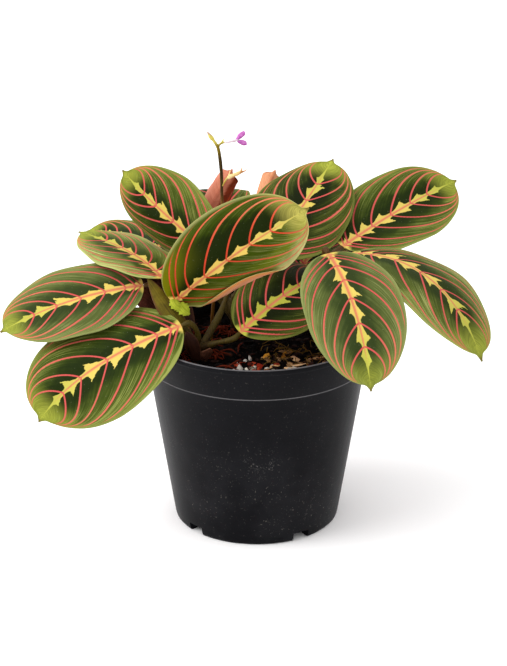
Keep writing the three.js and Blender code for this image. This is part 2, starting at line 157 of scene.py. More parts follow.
LEAVES = [
    leaf("far_left", (-68.7, -10.6, 155.1), (-113.5, -18.9, 147.6), (-153.7, -33, 133.4),
         (-0.25, -0.55, 0.8), 54, 0.05, 0),
    leaf("low_left", (-45.1, -35.3, 138.5), (-96.4, -51.6, 117.8), (-129, -67.5, 90),
         (0.25, -0.45, 0.85), 69, 0.1, -12),
    leaf("mid_left", (-56.8, -13.8, 160.9), (-79.4, 19.5, 166.4), (-112.2, 48.5, 169.4),
         (0.1, -0.05, 1), 51, 0.07, -10),
    leaf("behind_left", (-61, 50, 158), (-87, 80, 155), (-112, 108, 150),
         (-0.35, -0.05, 0.95), 46, 0.12, -25),
    leaf("upper_left", (-23, 6.4, 166.5), (-56.1, 25.4, 188.5), (-83.1, 39.4, 212.6),
         (-0.5, -0.85, 0.05), 50, 0.3, 18),
    leaf("centre", (-50, -23, 149), (-11, -32, 184), (30, -41, 214),
         (0, -0.95, -0.3), 61, 0.19, -25, fold=9),
    leaf("upper_right", (7.9, -1.3, 172), (27.7, 32.7, 190.3), (48.4, 71.6, 210),
         (-0.1, -0.6, 0.75), 62, 0.1, -8),
    leaf("far_right", (52.6, 11.2, 172.4), (90, 44.3, 185.7), (127, 71.5, 196.1),
         (0.15, -0.45, 0.9), 58, -0.07, 16),
    leaf("drooping_right", (56, -15, 177), (101, -49, 173), (129.5, -83, 135),
         (0.37, -0.24, 0.9), 63, 0.13, 3),
    leaf("front_right", (42, -38, 185), (56, -83, 166), (64, -115, 130),
         (-0.05, -0.55, 0.8), 57, 0.04, 12),
    leaf("low_centre", (-10, -35, 134), (21, -11, 152), (45, 22, 149), (0.15, -0.35, 0.9), 56, 0.11, 6),
    leaf("back_crest", (-24, 52, 160), (-26, 84, 184), (-28, 112, 168), (0, -0.1, 1), 44, 0.1, 0),
    leaf("back_centre", (28, 32, 150), (44, 74, 162), (52, 110, 144), (0, 0, 1), 50, 0.08, 0),
    leaf("back_right", (34, 24, 140), (66, 56, 150), (90, 82, 134), (0, 0, 1), 54, 0.08, 0),
    leaf("back_left", (-28, 32, 138), (-50, 72, 144), (-64, 104, 128), (0, 0, 1), 52, 0.08, 0),
    leaf("rolled_young", (-36, 23, 152), (-31, 30, 184), (-15, 35, 214.5),
         (0.25, 0.95, 0), 56, 0, 0, roll=(5.2, 9.6, 5.5)),
    leaf("rolled_back", (-4.5, 62, 146), (0.8, 70, 173), (12, 78, 201),
         (0.25, 0.95, 0), 44, 0, 0, roll=(3.5, 8)),
]

SHOOTS = {
    "shoot_left": ([(-38, -14), (-41, -15, 124), (-47, -13, 134)], {
        "far_left": [(-44, -15, 129), (-54, -11, 144)],
        "mid_left": [(-45, -14, 132), (-51, -18, 146)]}),
    "shoot_front": ([(-32, -30), (-37, -27, 125)], {
        "low_left": [(-36, -27, 123), (-36, -32, 134)],
        "centre": [(-36, -27, 122), (-44, -26, 134)],
        "upper_right": [(-34, -28, 121), (-22, -12, 138), (-15, -4, 153), (-4, 1, 164)],
        "low_centre": [(-34, -29, 122), (-24, -34, 127)]}),
    "shoot_back_left": ([(-14, 18), (-14, 17, 126), (-14, 14, 140)], {
        "behind_left": [(-14, 16, 130), (-34, 38, 146)],
        "upper_left": [(-14, 14, 136), (-11, 4, 152)],
        "rolled_young": [(-14, 16, 126), (-22, 19, 134)],
        "back_left": [(-14, 17, 122), (-20, 22, 130)]}),
    "shoot_back": ([(6, 26), (5, 27, 124), (3, 30, 134)], {
        "back_crest": [(3, 30, 132), (-10, 40, 148)],
        "back_centre": [(4, 28, 126), (14, 26, 140)],
        "back_right": [(5, 27, 122), (20, 18, 134)],
        "rolled_back": [(4, 28, 130), (0, 44, 136)]}),
    "shoot_right": ([(50, -18), (50, -20, 130), (47, -24, 150), (41, -24, 170)], {
        "far_right": [(42, -24, 166), (43, -14, 172)],
        "drooping_right": [(43, -24, 162), (46, -14, 170)],
        "front_right": [(41, -24, 167), (40, -26, 178)]}),
}

STALK_PATH = [(-28, 4, ROOT_END), (-28, 4, 104), (-28, 4, 120), (-26, -1, 145), (-21, -5, 175),
              (-20.5, 0, 195), (-21.1, 4, 207), (-21.3, 5, 220), (-22.2, 5, 231), (-23.4, 5, 237.4),
              (-25.4, 5, 240.8), (-26.6, 5, 242.6)]
STALK_RADII = (1.1, 1.1, 1.1, 1.1, 1.1, 1.15, 1.15, 1.15, 0.9, 1.15, 0.85)
BUD_PATH = [(-25.8, 5, 241.6), (-27.4, 5, 243.6), (-28.6, 5, 245.4), (-29.8, 5, 247.1)]


def lerp(start, end, share):
    return start + (end - start) * share


def clamp(value, low=0.0, high=1.0):
    return min(max(value, low), high)


def smooth(value, low, high):
    share = clamp((value - low) / (high - low))
    return share * share * (3 - 2 * share)


def along_list(values, share):
    """The value at a share of the way through a list."""
    place = clamp(share) * (len(values) - 1)
    first = min(int(place), len(values) - 2)
    return lerp(values[first], values[first + 1], place - first)


# Shader maths


def srgb(red, green, blue, scale=PLANT_SCALE):
    """A colour as it looks on a screen, 0 to 255, made linear and toned down for the strong light."""
    return tuple(scale * ((c / 255 + 0.055) / 1.055) ** 2.4 for c in (red, green, blue)) + (1.0,)


class Wire:
    """An output socket in a material. Arithmetic on it adds Math nodes."""

    def __init__(self, material, socket=None):
        self.material = material
        self.socket = socket

    def node(self, kind, settings, inputs, output=0):
        tree = self.material.node_tree
        made = tree.nodes.new("ShaderNode" + kind)
        for key, value in settings.items():
            setattr(made, key, value)
        for key, value in inputs.items():
            if isinstance(value, Wire):
                tree.links.new(value.socket, made.inputs[key])
            else:
                made.inputs[key].default_value = value
        return Wire(self.material, made.outputs[output] if made.outputs else None)

    def other(self, key):
        """Another output of the same node."""
        return Wire(self.material, self.socket.node.outputs[key])

    def math(self, operation, *values):
        return self.node("Math", {"operation": operation}, dict(enumerate((self, *values))))

    def __rsub__(self, value):
        return self.node("Math", {"operation": "SUBTRACT"}, {0: value, 1: self})

    __add__ = __radd__ = partialmethod(math, "ADD")
    __sub__ = partialmethod(math, "SUBTRACT")
    __mul__ = __rmul__ = partialmethod(math, "MULTIPLY")
    __truediv__ = partialmethod(math, "DIVIDE")
    __pow__ = partialmethod(math, "POWER")
    __abs__ = partialmethod(math, "ABSOLUTE")

    def step(self, low, high):
        """Rises smoothly from 0 at low to 1 at high, or falls where high is the lower of the two."""
        if low > high:
            return 1 - self.step(high, low)
        return self.node("MapRange", {"interpolation_type": "SMOOTHSTEP"}, {0: self, 1: low, 2: high})

    def mix(self, start, end):
        """From the start colour where this is 0 to the end colour where it is 1."""
        start, end = (color if isinstance(color, Wire) else srgb(*color) for color in (start, end))
        return self.node("Mix", {"data_type": "RGBA"}, {0: self, 6: start, 7: end}, output=2)

    def vector(self, x, y, z):
        return self.node("CombineXYZ", {}, {0: x, 1: y, 2: z})

    def place(self):
        """The place on the finished object, in metres."""
        return self.node("TexCoord", {}, {}, "Object")

    def stored(self, name, output="Vector"):
        """What the mesh keeps under a name."""
        return self.node("Attribute", {"attribute_name": name}, {}, output)

    def coordinate(self, axis):
        """One coordinate of a place, in millimetres."""
        return self.node("SeparateXYZ", {}, {0: self}).other(axis) * 1000

    def grain(self, scale, detail=2, roughness=0.5):
        """Smooth noise from 0 to 1 at the place that this vector gives."""
        sockets = {"Vector": self, "Scale": scale, "Detail": detail, "Roughness": roughness}
        return self.node("TexNoise", {}, sockets)

    def streaks(self, squeeze, scale, detail=2, roughness=0.5):
        """Smooth noise, drawn out along the axis that is squeezed."""
        return self.node("Mapping", {}, {"Vector": self, "Scale": squeeze}).grain(scale, detail, roughness)


def new_material(name):
    """The wire from which an empty material's pattern starts."""
    material = bpy.data.materials.new(name)
    material.use_nodes = True
    material.node_tree.nodes.clear()
    return Wire(material)


def surface(start, color, roughness, relief, depth, shine=0.5):
    """Ends a material with a shader, whose relief is up to the given number of millimetres deep."""
    bump = start.node("Bump", {}, {"Height": relief, "Distance": depth * MM, "Strength": 1})
    shader = start.node("BsdfPrincipled", {}, {"Base Color": color, "Roughness": roughness,
                                               "Specular IOR Level": shine, "Normal": bump})
    return start.node("OutputMaterial", {}, {"Surface": shader}).material


# Leaf finishes

# Leaf colours as a screen shows them: greens from the rib to the margin, veins near the rib and outside, the
# band at the base and at the tip, and undersides with their veins and margin
GREENS = ((28, 40, 6), (60, 74, 18), (102, 114, 42), (152, 158, 82))
DEEP_GREENS = ((22, 29, 4), (44, 55, 11), (74, 83, 24), (122, 128, 58))
# Soft greens: greyer and paler, partly a painted sheen of reflected light
SOFT_GREENS = ((46, 58, 24), (80, 91, 42), (118, 126, 66), (148, 154, 94))
PALE_GREENS = ((52, 66, 22), (108, 120, 52), (160, 168, 90), (190, 194, 124))
LIGHT_GREENS = ((40, 52, 14), (78, 90, 32), (128, 138, 64), (172, 176, 104))
# The centre blade's greens are yellower and more saturated, with a yellow glow near its base, as painted
# light shining through it
BACKLIT_GREENS = ((26, 36, 0), (60, 76, 2), (104, 116, 22), (202, 196, 128))
BACKLIT_GLOW = (122, 122, 4)
CORAL = ((200, 82, 78), (208, 114, 88))
RED = ((214, 72, 46), (222, 124, 88))
BAND = ((214, 190, 94), (170, 176, 66))
ORANGE_BAND = ((238, 204, 100), (206, 196, 96))
LIME_BAND = ((176, 176, 66), (150, 158, 58))
UNDERSIDE = ((128, 58, 62), (165, 98, 85), (180, 95, 70))
YOUNG_UNDERSIDE = ((180, 104, 78), (214, 138, 110), (196, 114, 88))
# A young rolled blade's flanks: a paler left and a dark right, partly painted light and shade across the
# roll, and a stripe
YOUNG_FLANKS = ((212, 138, 116), (118, 42, 16), (176, 64, 26))
BACK_UNDERSIDE = ((206, 136, 96), (232, 170, 128), (196, 116, 76))
FOLD_UNDERSIDE = ((214, 140, 104), (240, 180, 142), (232, 146, 62))


def vein_field(start):
    """Where a point of a blade lies among its veins, read from the mesh. Lengths are in millimetres."""
    along = start.node("SeparateXYZ", {}, {0: start.stored("blade")})
    bay = start.node("SeparateXYZ", {}, {0: start.stored("veins")})
    across, half = along.other(1), along.other(2)
    side = across.math("SIGN")
    share = (abs(across) / half).math("MINIMUM", 1)
    away = abs(bay - bay.math("ROUND")) / bay.other(1)
    return dict(along=along, half=half, share=share, side=side, bay=bay, across=abs(across), away=away,
                phase=bay.math("FRACT"), number=bay.math("FLOOR"), run=bay.other(2))


def vein_line(field, half_width, soft):
    """1 on a side vein, 0 away from it. Each vein thins and fades out short of the margin."""
    ending = (0.86 - (field["bay"] - VEIN_LONGEST) ** 2 * 0.045).math("MAXIMUM", 0.2)
    left = ending - field["run"]
    line = (field["away"] - half_width * (left + 0.6).math("MINIMUM", 1)).step(soft, -soft)
    numbered = field["bay"].step(-0.25, -0.15) * field["bay"].step(LAST_VEIN, LAST_VEIN - 0.2)
    return line * left.step(-0.06, 0.08) * numbered


def leaf_finish(name, length, seed, greens=GREENS, coral=CORAL, band=BAND, lobes=1, least=2, tilt=0,
                lines=0.8, backlit_glow=None, tipward=0, tip_glow=0.72):
    """The upper side: green streaks between coral veins, with a toothed lemon band along the midrib."""
    start = new_material(name)
    field = vein_field(start)
    along, share, bay, across = (field[key] for key in ("along", "share", "bay", "across"))
    place = field["side"] * 4 + seed
    dark, middle, pale, edge = greens
    inner, outer = coral
    lemon, lime = band

    streak = start.vector(bay * 11, share * 1.3, place).grain(1, 3, 0.6)
    fine = start.vector(bay * 27, share * 2.5, place).grain(1, 2, 0.6)
    patch = start.vector(along * 4, share * 2, place).grain(2)

    outward = share + (streak - 0.5) * 0.35 + (patch - 0.5) * 0.4
    # Painted sheen: the tilt lightens one side of the blade, standing in for light reflected off it
    outward = outward + field["side"] * tilt + (along - 0.4) * tipward
    green = outward.step(0.2, 0.62).mix(dark, middle)
    green = outward.step(0.66, 1.08).mix(green, pale)
    # Painted backlight: the base of the blade glows yellow towards its margin, which is paler still
    if backlit_glow:
        green = (along.step(0.42, 0) * share.step(0.1, 0.75) * 0.9).mix(green, backlit_glow)
        green = outward.step(1.05, 1.5).mix(green, edge)
    light_lines = (fine * 0.6 + streak * 0.4).step(0.48, 0.62) * outward.step(0.35, 0.85)
    green = (light_lines * lines).mix(green, edge)
    tip_zone = along.step(0.77, 0.95) * (fine.step(0.25, 0.7) * 0.45 + 0.55) * (1.3 - 0.6 * share)
    green = (tip_zone * tip_glow).mix(green, lime)
    green = (share.step(0.93, 1) * 0.45).mix(green, edge)

    corner = start.vector(field["number"], place, 0)
    chance = corner.node("TexWhiteNoise", {"noise_dimensions": "2D"}, {"Vector": corner})
    ragged = start.vector(bay * 2.6, across * 0.5, place).grain(1, 2, 0.6) - 0.5
    reach = field["phase"] + ragged * 0.3
    peak = field["half"] * (0.13 + 0.13 * chance) * lobes * (1.15 - along * 0.35)
    tooth = (1 - abs(reach - 0.36 - 0.24 * chance) / 0.36).math("MAXIMUM", 0) ** 1.7
    second = (1 - abs(reach - 0.12 - 0.72 * chance) / 0.14).math("MAXIMUM", 0) * 0.45
    narrow = (1 - along * 0.5) * least
    width = (narrow + (peak - narrow) * tooth.math("MAXIMUM", second) + ragged * 1.1) * along.step(0.95, 0.78)
    base_zone = (along * length + across + ragged * 3).step(8, 4)
    inside = (width - across).step(-0.2, 0.2).math("MAXIMUM", base_zone)
    color = inside.mix(green, (along.step(0.45, 0.9) * 0.8 + fine.step(0.45, 0.8) * 0.2).mix(lemon, lime))

    vein = vein_line(field, 0.52, 0.14) * along.step(0, 0.03)
    rib = (across - (0.78 - along * 0.5)).step(0.2, -0.12) * along.step(0.86, 0.7) * along.step(0, 0.03)
    flush = (across - (1.5 - along * 1.2)).step(1, -1) * along.step(0.8, 0.5)
    color = (flush * 0.5).mix(color, outer)
    color = vein.mix(color, field["run"].step(0.1, 0.7).mix(inner, outer))
    color = (rib * 0.75).mix(color, outer)
    color = (along.step(0.97, 0.99) * 0.8).mix(color, (104, 88, 38))
    speck = start.place().grain(1300, 1).step(0.73, 0.8)
    color = (speck * 0.22).mix(color, (214, 214, 190))

    relief = rib * 0.5 - vein * 0.6 + fine * 0.4 + streak * 0.3
    return surface(start, color, 0.46 + 0.2 * streak, relief, 0.22, LEAF_SHINE)


def underside_finish(name, seed, colors=UNDERSIDE, strength=0.7, flanks=None):
    """The lower side: dull red with paler veins. A rolled blade's flanks may differ from each other: a paler
    left and a darker right are partly painted light and shade across the roll.
    """
    start = new_material(name)
    flesh, pale, edge = colors
    field = vein_field(start)
    share, bay = field["share"], field["bay"]
    streak = start.vector(bay * 7, share * 1.2, seed).grain(1, 3, 0.6)
    fine = start.vector(bay * 24, share * 2.5, seed).grain(1, 2, 0.6)
    vein = vein_line(field, 0.4, 0.25)
    rib = (field["across"] - 1).step(0.5, -0.2)
    color = (streak * 0.6 + fine * 0.4).step(0.3, 0.75).mix(flesh, pale)
    color = (vein * strength).mix(color, pale)
    color = (share.step(0.85, 1) * 0.7).mix(color, edge)
    color = (rib * 0.5).mix(color, edge)
    if flanks:
        left, right, stripe = flanks
        # Partly painted light and shade: the left flank paler, the right flank darker
        across = field["across"] * field["side"] + (streak - 0.5) * 3
        color = (across.step(-2, -10) * (0.5 + 0.5 * fine)).mix(color, left)
        color = (across.step(2.4, 4.8) * 0.95).mix(color, right)
        color = (abs(across - 9.3).step(1.3, 0.4) * 0.8).mix(color, stripe)
    relief = vein * strength + rib * 0.4 + streak * 0.4 + fine * 0.4
    return surface(start, color, 0.5 + 0.2 * streak, relief, 0.25, LEAF_SHINE)


# Other finishes


def stem_finish():
    """Dark red-brown at the soil, deepened there as painted shade, olive above and brown under the blades,
    with fine streaks and hairs.
    """
    start = new_material("stem_skin")
    place = start.place()
    blotch = place.grain(220, 3, 0.6)
    streak = place.streaks((1, 1, 0.12), 1400)
    hair = place.grain(2400, 1).step(0.66, 0.74)
    level = place.coordinate(2) + (blotch - 0.5) * 22
    # Near the soil the stem's own red-brown is deepened almost to black as painted shade
    color = level.step(118, 134).mix((32, 12, 6), (64, 52, 8))
    color = level.step(144, 160).mix(color, (74, 48, 16))
    color = (streak.step(0.45, 0.75) * 0.25).mix(color, (112, 92, 30))
    color = (hair * 0.15).mix(color, (170, 160, 130))
    relief = streak * 0.6 + blotch * 0.4 + hair * 0.4
    return surface(start, color, 0.45 + 0.25 * streak, relief, 0.25, STEM_SHINE)


def sheath_finish(name, deep, light, edge):
    """A leaf sheath: lengthwise ribs, papery at its edges."""
    start = new_material(name)
    field = vein_field(start)
    streak = start.vector(field["across"] * 2.2, field["along"] * 1.5, field["side"]).grain(1, 3, 0.6)
    blotch = start.place().grain(160, 3, 0.6)
    color = (streak * 0.6 + blotch * 0.4).step(0.3, 0.7).mix(deep, light)
    color = field["share"].step(0.7, 1).mix(color, edge)
    return surface(start, color, 0.5 + 0.2 * streak, streak, 0.3, STEM_SHINE)


def stalk_finish():
    """The flower stalk: brown at its foot, dark olive above, lime under the bud and dull pink at its tip."""
    start = new_material("stalk_skin")
    place = start.place()
    blotch = place.grain(300, 3, 0.6)
    streak = place.streaks((1, 1, 0.12), 1800)
    level = place.coordinate(2) + (blotch - 0.5) * 5
    color = level.step(201, 212).mix((104, 66, 14), (50, 35, 4))
    color = level.step(230, 237).mix(color, (122, 102, 8))
    color = level.step(237.5, 241.5).mix(color, (214, 200, 96))
    color = level.step(244, 246).mix(color, (178, 142, 122))
    color = (streak.step(0.45, 0.75) * 0.2).mix(color, (150, 126, 40))
    return surface(start, color, 0.45 + 0.25 * streak, streak * 0.6 + blotch * 0.4, 0.2, STEM_SHINE)


def bract_finish():
    """Dry and papery: straw at the foot, pale along its middle and tan at the torn tips."""
    start = new_material("dry_bract_skin")
    place = start.place()
    line = place.streaks((0.25, 1, 1), 2200)
    cloud = place.grain(420, 3)
    right = place.coordinate(0) + (cloud - 0.5) * 3
    color = (line * 0.5 + cloud * 0.5).step(0.35, 0.65).mix((226, 190, 110), (250, 232, 170))
    color = right.step(-17.4, -19).mix(color, (196, 176, 60))
    color = (right.step(-11.5, -8.5) * 0.85).mix(color, (212, 136, 76))
    return surface(start, color, 0.6 + 0.2 * line, line, 0.2)


def pot_finish():
    """Black satin plastic with moulding grain, dust specks, scuffs, a scratched spot, and painted highlight
    lines at the collar foot and rim edge.
    """
    start = new_material("pot_black_plastic")
    place = start.place()
    height = place.coordinate(2)
    grain = place.grain(2600, 2)
    cloud = place.grain(28, 3, 0.6)
    scuff = place.streaks((1, 1, 0.25), 160, 4, 0.7)
    dusty = cloud.step(0.4, 0.65) * height.step(90, 20)
    speck = place.grain(700, 3, 0.7).step(0.62, 0.72) * (dusty * 0.8 + 0.2)
    worn = scuff.step(0.58, 0.85) * cloud.step(0.35, 0.7)
    # Painted highlights: pale lines along the collar foot and the rim's edge, made patchy by the scuffs
    painted_edge_highlights = abs(height - COLLAR_FOOT).step(0.5, 0.25) + abs(height - RIM_EDGE).step(0.35, 0.1)
    away = start.node("VectorMath", {"operation": "DISTANCE"}, {0: place, 1: SCRATCHED}, output=1)
    marks = place.grain(1100, 3, 0.7).step(0.54, 0.66) * place.grain(150, 3, 0.7).step(0.5, 0.62)
    color = cloud.step(0.3, 0.7).mix((8, 8, 12), (15, 15, 19))
    color = (worn * 0.3 + dusty * 0.12).mix(color, (60, 60, 62))
    color = (speck * 0.6).mix(color, (140, 134, 124))
    color = (away.step(0.015, 0.002) * marks * 0.5).mix(color, (150, 146, 142))
    color = (painted_edge_highlights * (0.3 + 0.55 * scuff)).mix(color, (124, 122, 124))
    roughness = 0.3 + 0.14 * scuff + 0.08 * cloud
    return surface(start, color, roughness, grain * 0.5 + scuff * 0.5, 0.05, POT_SHINE)


def soil_finish():
    """Almost black crumbs, browner in places, with a few pale specks."""
    start = new_material("potting_mix")
    place = start.place()
    crumb = place.grain(420, 4, 0.7)
    lump = place.grain(110, 3)
    color = crumb.step(0.5, 0.85).mix((5, 2, 1), (30, 15, 8))
    color = (lump.step(0.55, 0.85) * 0.3).mix(color, (52, 24, 10))
    color = (place.grain(1500, 1).step(0.72, 0.8) * 0.6).mix(color, (150, 120, 95))
    return surface(start, color, 0.82 + 0.12 * crumb, crumb + lump * 0.5, 1.6, SOIL_SHINE)


def chip_finish(name, dark, light, fleck):
    """Bark, fibre or mineral grit: each bit has its own tone, kept in the mesh."""
    start = new_material(name)
    grain = start.place().grain(900, 4, 0.65)
    color = (start.stored("tone", "Fac") * 0.8 + grain * 0.3).step(0.15, 1).mix(dark, light)
    color = (grain.step(0.6, 0.75) * 0.5).mix(color, fleck)
    return surface(start, color, 0.75 + 0.2 * grain, grain, 0.5, CHIP_SHINE)


def petal_finish(name, deep, light):
    """Soft petal with faint lines along it."""
    start = new_material(name)
    place = start.place()
    line = place.streaks((0.3, 1, 1), 1500)
    color = (line * 0.5 + place.grain(500) * 0.5).step(0.35, 0.65).mix(deep, light)
    return surface(start, color, 0.5 + 0.2 * line, line, 0.15)


def floor_finish():
    """Matt white, uneven by a trace. The scale of 1 in each colour keeps all its light."""
    start = new_material("studio_floor")
    cloud = start.place().grain(3)
    color = cloud.mix((251, 251, 251, 1), (253, 253, 253, 1))
    return surface(start, color, 0.85 + 0.05 * cloud, cloud, 0.1)


# Meshes


def face_outwards(mesh):
    bmesh.ops.recalc_face_normals(mesh, faces=mesh.faces)


def gather(parts):
    """Several meshes as one."""
    whole = bmesh.new()
    for part in parts:
        data = bpy.data.meshes.new("part")
        part.to_mesh(data)
        part.free()
        whole.from_mesh(data)
        bpy.data.meshes.remove(data)
    return whole


def add_object(name, data, place=(0, 0, 0)):
    made = bpy.data.objects.new(name, data)
    made.location = place
    bpy.context.collection.objects.link(made)
    return made


def add_mesh(name, mesh, materials=()):
    data = bpy.data.meshes.new(name)
    mesh.to_mesh(data)
    mesh.free()
    for material in materials:
        data.materials.append(material)
    return add_object(name, data)


def refined(mesh, *modifiers):
    """A mesh after modifiers, each given as its type and its settings."""
    body = add_mesh("rough", mesh)
    for kind, settings in modifiers:
        modifier = body.modifiers.new(kind, kind)
        for key, value in settings.items():
            setattr(modifier, key, value)
    bpy.context.view_layer.update()
    made = bmesh.new()
    made.from_object(body, bpy.context.evaluated_depsgraph_get())
    bpy.data.meshes.remove(body.data)
    return made


def piece(name, mesh, materials, slot, *nodes):
    """A mesh in millimetres as a finished piece of the plant."""
    mesh.transform(Matrix.Scale(MM, 4))
    for face in mesh.faces:
        face.smooth = True
    made = add_mesh(name, mesh, materials)
    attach(made, "root")
    if nodes:
        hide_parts(*nodes)


def turned(profile, steps):
    """A profile of radii and heights spun round the pot's axis."""
    mesh = bmesh.new()
    ring = [mesh.verts.new((radius, 0, height)) for radius, height in profile]
    edges = [mesh.edges.new(pair) for pair in zip(ring, ring[1:])]
    bmesh.ops.spin(mesh, geom=ring + edges, cent=(0, 0, 0), axis=(0, 0, 1), angle=2 * pi, steps=steps,
                   use_merge=True)
    bmesh.ops.remove_doubles(mesh, verts=mesh.verts, dist=0.001)
    return mesh


def between(first, last, start, end, time):
    return lerp(first, last, (time - start) / (end - start))


def through(points, steps):
    """Evenly spaced points on a smooth curve through the given ones."""
    knots = [Vector(point) for point in points]
    knots = [2 * knots[0] - knots[1], *knots, 2 * knots[-1] - knots[-2]]
    path = []
    for k in range(len(knots) - 3):
        a, b, c, d = knots[k:k + 4]
        t1 = (b - a).length ** 0.5
        t2 = t1 + (c - b).length ** 0.5
        t3 = t2 + (d - c).length ** 0.5
        for i in range(CURVE_STEPS):
            t = lerp(t1, t2, i / CURVE_STEPS)
            ab, bc, cd = between(a, b, 0, t1, t), between(b, c, t1, t2, t), between(c, d, t2, t3, t)
            path.append(between(between(ab, bc, 0, t2, t), between(bc, cd, t1, t3, t), t1, t2, t))
    path.append(knots[-2])
    run = [0.0]
    for a, b in zip(path, path[1:]):
        run.append(run[-1] + (b - a).length)
    even = []
    k = 0
    for i in range(steps + 1):
        goal = run[-1] * i / steps
        while k < len(path) - 2 and run[k + 1] < goal:
            k += 1
        even.append(path[k].lerp(path[k + 1], clamp((goal - run[k]) / (run[k + 1] - run[k]))))
    return even


def tube(points, radii, steps=24, sides=12, flat=1.0, facing=None):
    """A closed tube through points. It may be flattened, and then its broad sides face a given way."""
    mesh = bmesh.new()
    path = through(points, steps)
    last = len(path) - 1
    bmesh.ops.create_grid(mesh, x_segments=sides, y_segments=last, size=1)
    rings = []
    out = Vector(facing) if facing else (path[1] - path[0]).orthogonal()
    for k, at in enumerate(path):
        along = (path[min(k + 1, last)] - path[max(k - 1, 0)]).normalized()
        out = (out - along * out.dot(along)).normalized()
        rings.append((at, out, along.cross(out), along_list(radii, k / last)))
    for vert in mesh.verts:
        at, out, aside, radius = rings[round((vert.co.y + 1) / 2 * last)]
        angle = pi * vert.co.x
        vert.co = at + out * (radius * flat * cos(angle)) + aside * (radius * sin(angle))
    bmesh.ops.remove_doubles(mesh, verts=mesh.verts, dist=0.01)
    bmesh.ops.holes_fill(mesh, edges=mesh.edges, sides=0)
    face_outwards(mesh)
    return mesh


# Blades


def oval_outline(s):
    """Half the blade's width at a share of the midrib, as a share of its widest."""
    u = min(s / 0.965, 1) ** 0.92
    oval = max(1 - abs(2 * u - 1) ** 2.2, 0) ** 0.55
    point = 0.2 * min((1 - s) / 0.08, 1) if s > 0.5 else 0
    return (oval ** 3 + point ** 3) ** (1 / 3)


def lance_outline(s):
    return sin(pi * (0.12 + 0.86 * s)) ** 0.8


def frill_outline(s):
    return lance_outline(s) * (1 + 0.16 * sin(26 * s) + 0.07 * sin(61 * s))


def read_curve(places, values, at):
    """A value between the given ones, where places rise and hold the point."""
    k = 0
    while k < len(places) - 2 and places[k + 1] < at:
        k += 1
    return between(values[k], values[k + 1], places[k], places[k + 1], at)


def reach_of_vein(foot, s):
    """How far out a vein has come, as a share of half the blade's width. It leaves the rib at a slant."""
    speed = read_curve(VEIN_FEET, VEIN_SPEEDS, foot)
    run = clamp((s - foot) / (1 - foot)) ** VEIN_SLANT
    return (1 - exp(-speed * run)) / (1 - exp(-speed))


def vein_place(s, share):
    """The number of the vein through a point, with fractions between the veins, and how far along it."""
    low, high = 0.0, s
    for _ in range(VEIN_HALVINGS):
        foot = (low + high) / 2
        if reach_of_vein(foot, s) > share:
            low = foot
        else:
            high = foot
    return read_curve(VEIN_FEET, VEIN_NUMBERS, low), (s - low) / (1 - low)


def rib_shares(rows):
    """The rows of a blade as shares of its rib, closer together near its ends."""
    return [(1 - cos(pi * row / rows)) / 2 for row in range(rows + 1)]


# The vein place of each row and column of one half of a blade
SPAN = BLADE_COLUMNS // 2
HALF_GRID = [[vein_place(min(s, 0.999), column / SPAN) for column in range(SPAN + 1)]
             for s in rib_shares(BLADE_ROWS)]


def veins_of(shape, ribs, halves, seed):
    """For each row and column of a blade: the vein number, and how much it changes in a millimetre."""
    length = rib_length(shape)
    numbers = []
    for plain in HALF_GRID:
        row = [plain[abs(c)][0] for c in range(-SPAN, SPAN + 1)]
        numbers.append([bay + VEIN_WANDER * noise.noise(Vector((bay * 1.7, 0.07 * (k - SPAN), seed)))
                        for k, bay in enumerate(row)])
    made = []
    for r, row in enumerate(numbers):
        before, after = max(r - 1, 0), min(r + 1, len(numbers) - 1)
        run = (ribs[after][0] - ribs[before][0]) * length
        made.append([])
        for k, bay in enumerate(row):
            inner = k - (k > SPAN or k == 2 * SPAN)
            across_rate = (row[inner + 1] - row[inner]) / (halves[r] / SPAN)
            shift = (k - SPAN) / SPAN * (halves[after] - halves[before])
            along_rate = (numbers[after][k] - numbers[before][k] - across_rate * shift) / run
            rate = max(hypot(across_rate, along_rate), LEAST_VEIN_RATE)
            made[-1].append((bay, rate, HALF_GRID[r][abs(k - SPAN)][1]))
    return made


def rib_points(shape):
    """The rib's base, middle and tip, and the point beyond its middle that draws it into a curve."""
    base, middle, tip = (Vector(shape[key]) for key in ("base", "middle", "tip"))
    return base, middle, tip, 2 * middle - (base + tip) / 2


def rib_length(shape):
    base, middle, tip, _ = rib_points(shape)
    return (middle - base).length + (tip - middle).length


def fold_share(s):
    u = clamp((s - FOLD_START) / FOLD_LENGTH)
    return max(sin(pi * u), FOLD_LEAST) ** 0.7


def midrib(shape, rows):
    """For each row along the rib: its share, its point, the way across and the way up."""
    base, _, tip, bend = rib_points(shape)
    face = Vector(shape["face"])
    made = []
    for s in rib_shares(rows):
        at = base * (1 - s) ** 2 + bend * (2 * s * (1 - s)) + tip * s ** 2
        along = ((bend - base) * (1 - s) + (tip - bend) * s).normalized()
        up = (face - along * face.dot(along)).normalized()
        up = Matrix.Rotation(radians(shape["twist"] * (s - 0.5)), 3, along) @ up
        made.append((s, at, up.cross(along), up))
    return made


def blade_point(shape, row, half, across):
    """A point of the blade's middle layer at a distance across, and the way that its upper side faces."""
    s, at, side, up = row
    if "roll" in shape:
        middle = along_list(shape["roll"], s)
        angle = across / middle
        radius = middle + ROLL_SPREAD * angle
        place = at + side * (radius * sin(angle)) + up * (middle - radius * cos(angle))
        return place, up * cos(angle) - side * sin(angle)
    flat = half - min(shape["fold"] * fold_share(s), half / 2) if "fold" in shape else half
    over = max(-across - flat, 0)
    angle = min(over / FOLD_RADIUS, pi)
    reach = max(across, -flat) - FOLD_RADIUS * sin(angle) + over - FOLD_RADIUS * angle
    wave = sin(2 * pi * (RIPPLE_TURNS * s + shape["width"] / RIPPLE_SHIFT))
    rise = RIPPLE * min(half / RIPPLE_FULL_WIDTH, 1) * (reach / half) ** 2 * wave
    rise += FOLD_RADIUS * (1 - cos(angle)) - shape["arch"] * reach ** 2 / (shape["width"] / 2)
    return at + side * reach + up * rise, up * cos(angle) + side * sin(angle)


